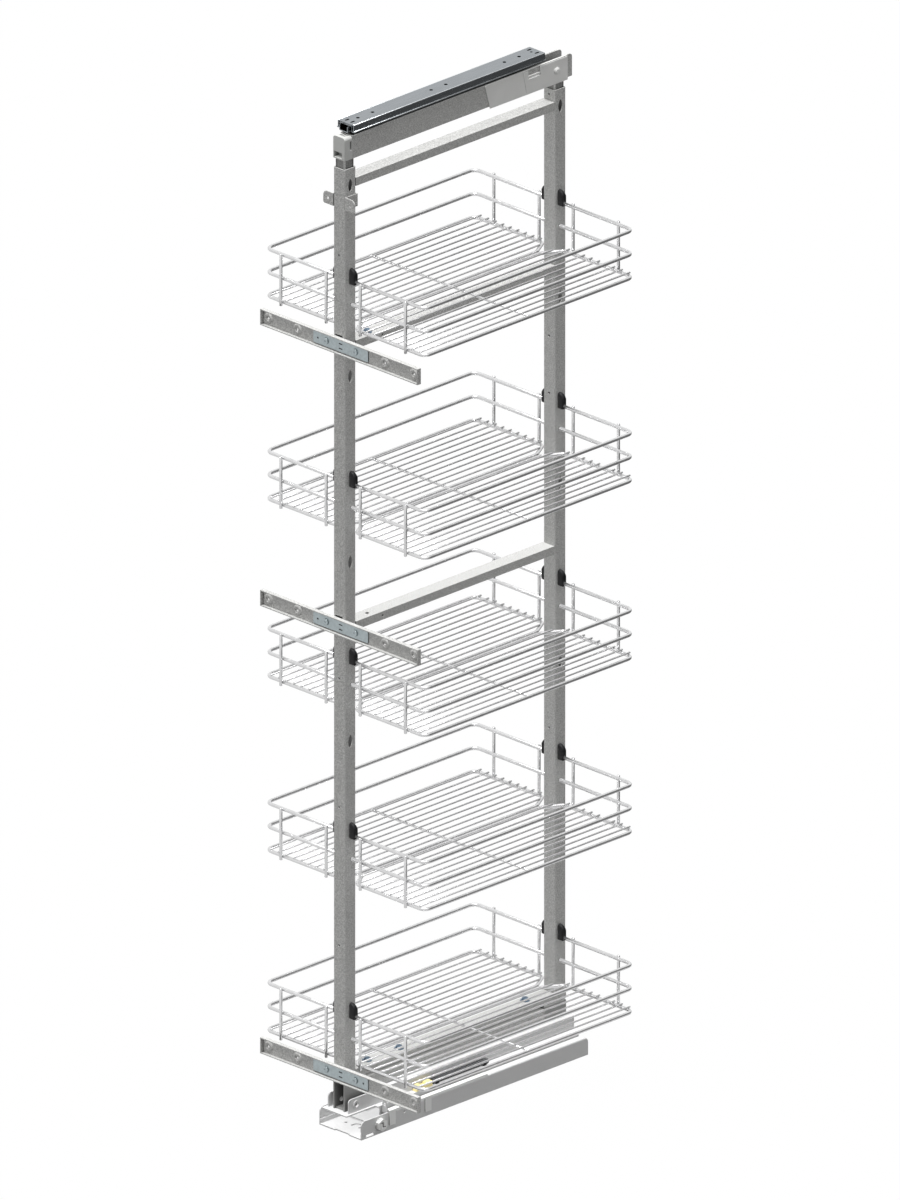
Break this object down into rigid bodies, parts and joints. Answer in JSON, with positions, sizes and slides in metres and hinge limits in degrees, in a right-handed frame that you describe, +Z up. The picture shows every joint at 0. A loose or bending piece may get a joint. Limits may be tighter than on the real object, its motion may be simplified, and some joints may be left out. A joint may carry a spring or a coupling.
{
  "type": "pull-out larder unit",
  "caption": "Tall pull-out larder frame on a full-extension base rail, with wire baskets clipped on two square posts, a top guide runner and door brackets.",
  "frame": {"origin": "middle of the base housing's underside", "axes": "+Z up, -Y towards the front, where the unit is drawn out, +X to the right for someone standing in front of it"},
  "size_m": [0.3575, 0.5087, 1.69],
  "materials": {
    "powder_grey": "fine speckled powder coat, satin",
    "pale_grey": "smooth pale grey coat, satin",
    "foot_grey": "dark grey coat, satin",
    "zinc": "bright zinc plating",
    "chrome": "bright chrome plating",
    "ball_steel": "polished",
    "black_plastic": "fine-grained matte",
    "cap_grey": "fine-grained matte",
    "white_plastic": "smooth matte",
    "yellow_plastic": "smooth matte"
  },
  "bodies": {
    "base": {"base_housing": "pale_grey", "side_strip": "white_plastic"},
    "adjuster": {"adjuster_knob": "white_plastic"},
    "base_middle": {"base_middle_rail": "pale_grey"},
    "base_outer_balls": {"base_outer_ball_cages": "zinc", "base_outer_balls": "ball_steel"},
    "base_inner_balls": {"base_inner_ball_cages": "zinc", "base_inner_balls": "ball_steel"},
    "frame": {"base_carriage": "pale_grey", "carriage_bushes": "pale_grey", "front_foot": "foot_grey", "rear_foot": "foot_grey", "spacer_beam": "powder_grey", "bottom_beam": "powder_grey", "damper_body": "black_plastic", "damper_saddles": "black_plastic", "post_front": "powder_grey", "post_rear": "powder_grey", "crossbar_1": "powder_grey", "crossbar_2": "powder_grey", "crossbar_3": "powder_grey", "crossbar_screws": "zinc", "lug_bracket": "powder_grey", "door_bracket_1": "powder_grey", "door_bracket_2": "powder_grey", "door_bracket_3": "powder_grey", "adapter_plate_1": "zinc", "adapter_plate_2": "zinc", "adapter_plate_3": "zinc", "bracket_rivets": "zinc"},
    "damper_plunger": {"damper_rod": "zinc", "damper_catch": "yellow_plastic"},
    "top_guide": {"extension_tube_front": "powder_grey", "extension_tube_rear": "powder_grey", "top_bar": "powder_grey", "top_bar_cap": "cap_grey", "rear_cover": "cap_grey", "cover_button": "cap_grey", "runner_saddles": "black_plastic", "top_runner_inner": "zinc"},
    "top_outer": {"top_runner_outer": "zinc"},
    "top_middle": {"top_runner_middle": "zinc"},
    "top_outer_balls": {"top_outer_ball_cages": "zinc", "top_outer_balls": "ball_steel"},
    "top_inner_balls": {"top_inner_ball_cages": "zinc", "top_inner_balls": "ball_steel"},
    "basket_1": {"basket_1": "chrome", "basket_1_clips": "black_plastic"},
    "basket_2": {"basket_2": "chrome", "basket_2_clips": "black_plastic"},
    "basket_3": {"basket_3": "chrome", "basket_3_clips": "black_plastic"},
    "basket_4": {"basket_4": "chrome", "basket_4_clips": "black_plastic"},
    "basket_5": {"basket_5": "chrome", "basket_5_clips": "black_plastic"}
  },
  "joints": [
    {"name": "frame_pull", "type": "slide", "parent": "base", "child": "frame", "axis": [0, -1, 0], "range_m": [0, 0.45]},
    {"name": "base_middle_slide", "type": "slide", "parent": "base", "child": "base_middle", "axis": [0, -1, 0], "range_m": [0, 0.225]},
    {"name": "base_outer_balls_slide", "type": "slide", "parent": "base", "child": "base_outer_balls", "axis": [0, -1, 0], "range_m": [0, 0.1125]},
    {"name": "base_inner_balls_slide", "type": "slide", "parent": "base_middle", "child": "base_inner_balls", "axis": [0, -1, 0], "range_m": [0, 0.1125]},
    {"name": "top_height", "type": "slide", "parent": "frame", "child": "top_guide", "axis": [0, 0, 1], "range_m": [-0.01, 0.1]},
    {"name": "runner_height", "type": "slide", "parent": "base", "child": "top_outer", "axis": [0, 0, 1], "range_m": [-0.01, 0.1]},
    {"name": "top_middle_slide", "type": "slide", "parent": "top_outer", "child": "top_middle", "axis": [0, -1, 0], "range_m": [0, 0.225]},
    {"name": "top_outer_balls_slide", "type": "slide", "parent": "top_outer", "child": "top_outer_balls", "axis": [0, -1, 0], "range_m": [0, 0.1125]},
    {"name": "top_inner_balls_slide", "type": "slide", "parent": "top_middle", "child": "top_inner_balls", "axis": [0, -1, 0], "range_m": [0, 0.1125]},
    {"name": "basket_1_height", "type": "slide", "parent": "frame", "child": "basket_1", "axis": [0, 0, 1], "range_m": [-0.015, 0.09]},
    {"name": "basket_2_height", "type": "slide", "parent": "frame", "child": "basket_2", "axis": [0, 0, 1], "range_m": [-0.09, 0.09]},
    {"name": "basket_3_height", "type": "slide", "parent": "frame", "child": "basket_3", "axis": [0, 0, 1], "range_m": [-0.09, 0.09]},
    {"name": "basket_4_height", "type": "slide", "parent": "frame", "child": "basket_4", "axis": [0, 0, 1], "range_m": [-0.09, 0.09]},
    {"name": "basket_5_height", "type": "slide", "parent": "frame", "child": "basket_5", "axis": [0, 0, 1], "range_m": [0, 0.09]},
    {"name": "damper_stroke", "type": "slide", "parent": "frame", "child": "damper_plunger", "axis": [0, -1, 0], "range_m": [0, 0.04]},
    {"name": "adjuster_turn", "type": "hinge", "parent": "base", "child": "adjuster", "pos_m": [0.0464, -0.2069, 0.016], "axis": [1, 0, 0], "range_deg": [-180, 180]}
  ],
  "couplings": [
    {"joint": "base_middle_slide", "follows": "frame_pull", "ratio": 0.5},
    {"joint": "base_outer_balls_slide", "follows": "frame_pull", "ratio": 0.25},
    {"joint": "base_inner_balls_slide", "follows": "frame_pull", "ratio": 0.25},
    {"joint": "runner_height", "follows": "top_height", "ratio": 1},
    {"joint": "top_middle_slide", "follows": "frame_pull", "ratio": 0.5},
    {"joint": "top_outer_balls_slide", "follows": "frame_pull", "ratio": 0.25},
    {"joint": "top_inner_balls_slide", "follows": "frame_pull", "ratio": 0.25}
  ]
}
